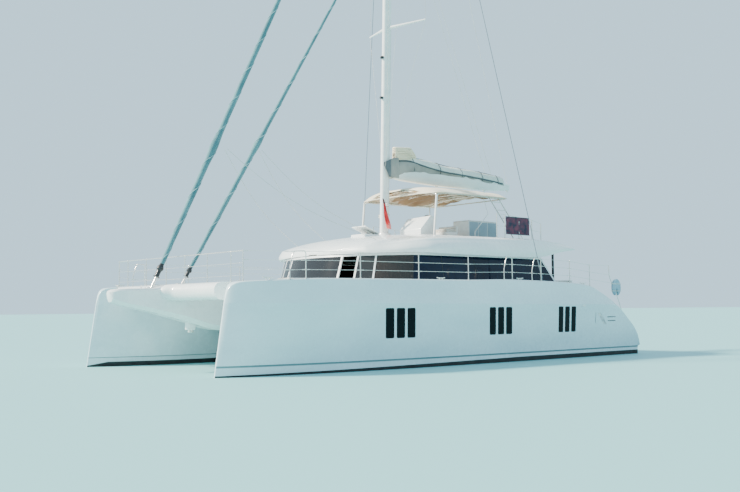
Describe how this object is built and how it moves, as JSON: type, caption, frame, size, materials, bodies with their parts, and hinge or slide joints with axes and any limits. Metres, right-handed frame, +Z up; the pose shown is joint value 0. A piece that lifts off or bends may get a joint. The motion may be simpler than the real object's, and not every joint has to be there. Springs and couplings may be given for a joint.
{
  "type": "sailing catamaran",
  "caption": "Twin-hulled sailing yacht with a glazed deckhouse, flybridge under a canopy, mast, boom with a stowed mainsail and rolled headsails.",
  "frame": {"origin": "on the centreline at mid-length, on the waterline", "axes": "+X forward, +Y to port, +Z up"},
  "size_m": [19.33, 10.2, 30.1103],
  "materials": {
    "gelcoat": "glossy white moulded shell",
    "glass": "dark tinted glass",
    "stainless": "polished stainless steel",
    "spar": "white painted spar",
    "sailcloth": "cream woven sailcloth",
    "teal_cloth": "matt teal sun-protection cloth",
    "bag_cloth": "matt blue-grey canvas",
    "canvas": "matt beige canvas",
    "antifouling": "matt black bottom paint",
    "black": "matt black",
    "bronze": "satin bronze",
    "cushion": "pale grey upholstery",
    "wood": "satin light wood"
  },
  "bodies": {
    "boat": {"hull_port": "gelcoat", "hull_starboard": "gelcoat", "front_crossbeam_port": "gelcoat", "front_crossbeam_starboard": "gelcoat", "bridgedeck": "gelcoat", "centre_nacelle": "gelcoat", "saloon_frame": "gelcoat", "aft_bulkhead": "gelcoat", "roof": "gelcoat", "helm_console": "gelcoat", "fly_bar": "gelcoat", "windscreen_centre": "glass", "windscreen_port": "glass", "windscreen_starboard_inner": "glass", "windscreen_starboard_outer": "glass", "side_glass_port": "glass", "side_glass_starboard": "glass", "guard_rail_port": "stainless", "guard_rail_starboard": "stainless", "bow_rail": "stainless", "shroud_port": "stainless", "shroud_starboard": "stainless", "canopy_frame": "stainless", "fly_rail_port": "stainless", "fly_rail_starboard": "stainless", "mast": "spar", "rolled_genoa": "teal_cloth", "rolled_staysail": "teal_cloth", "canopy": "canvas", "keel_port": "antifouling", "keel_starboard": "antifouling", "bow_net_port": "black", "bow_net_starboard": "black", "genoa_furler": "black", "staysail_furler": "black", "roof_post_port": "black", "roof_post_starboard": "black", "rail_panel": "black", "drive_leg_port": "bronze", "drive_leg_starboard": "bronze", "helm_seat": "cushion", "fly_settee": "cushion", "cockpit_settee": "cushion", "saloon_settee": "cushion", "cockpit_table": "wood", "galley_counter": "wood"},
    "boom_and_sail": {"boom": "spar", "sail_bag": "bag_cloth", "mainsail_stack": "sailcloth"},
    "rudder_blade_port": {"rudder_port": "antifouling"},
    "rudder_blade_starboard": {"rudder_starboard": "antifouling"},
    "screw_port": {"propeller_port": "bronze"},
    "screw_starboard": {"propeller_starboard": "bronze"},
    "helm_wheel": {"steering_wheel": "black"},
    "door_leaf": {"saloon_door": "glass"},
    "hatch_lid": {"roof_hatch": "gelcoat"}
  },
  "joints": [
    {"name": "boom_swing", "type": "hinge", "parent": "boat", "child": "boom_and_sail", "pos_m": [-0.835, 0, 6.64], "axis": [0, 0, 1], "range_deg": [-50, 50]},
    {"name": "wheel_turn", "type": "hinge", "parent": "boat", "child": "helm_wheel", "pos_m": [-1.59, 1.05, 4.82], "axis": [1, 0, 0], "range_deg": [-350, 350]},
    {"name": "rudder_port_turn", "type": "hinge", "parent": "boat", "child": "rudder_blade_port", "pos_m": [-7.7, 3.85, -0.6], "axis": [0, 0, 1], "range_deg": [-35, 35]},
    {"name": "rudder_starboard_turn", "type": "hinge", "parent": "boat", "child": "rudder_blade_starboard", "pos_m": [-7.7, -3.85, -0.6], "axis": [0, 0, 1], "range_deg": [-35, 35]},
    {"name": "propeller_port_spin", "type": "hinge", "parent": "boat", "child": "screw_port", "pos_m": [-6.2, 3.85, -1.26], "axis": [1, 0, 0], "continuous": true},
    {"name": "propeller_starboard_spin", "type": "hinge", "parent": "boat", "child": "screw_starboard", "pos_m": [-6.2, -3.85, -1.26], "axis": [1, 0, 0], "continuous": true},
    {"name": "saloon_door_slide", "type": "slide", "parent": "boat", "child": "door_leaf", "axis": [0, 1, 0], "range_m": [0, 1.1]},
    {"name": "roof_hatch_close", "type": "hinge", "parent": "boat", "child": "hatch_lid", "pos_m": [0.508, 0.47, 4.398], "axis": [0, 1, 0], "range_deg": [0, 20]}
  ],
  "couplings": [
    {"joint": "rudder_port_turn", "follows": "wheel_turn", "ratio": 0.1},
    {"joint": "rudder_starboard_turn", "follows": "wheel_turn", "ratio": 0.1}
  ]
}
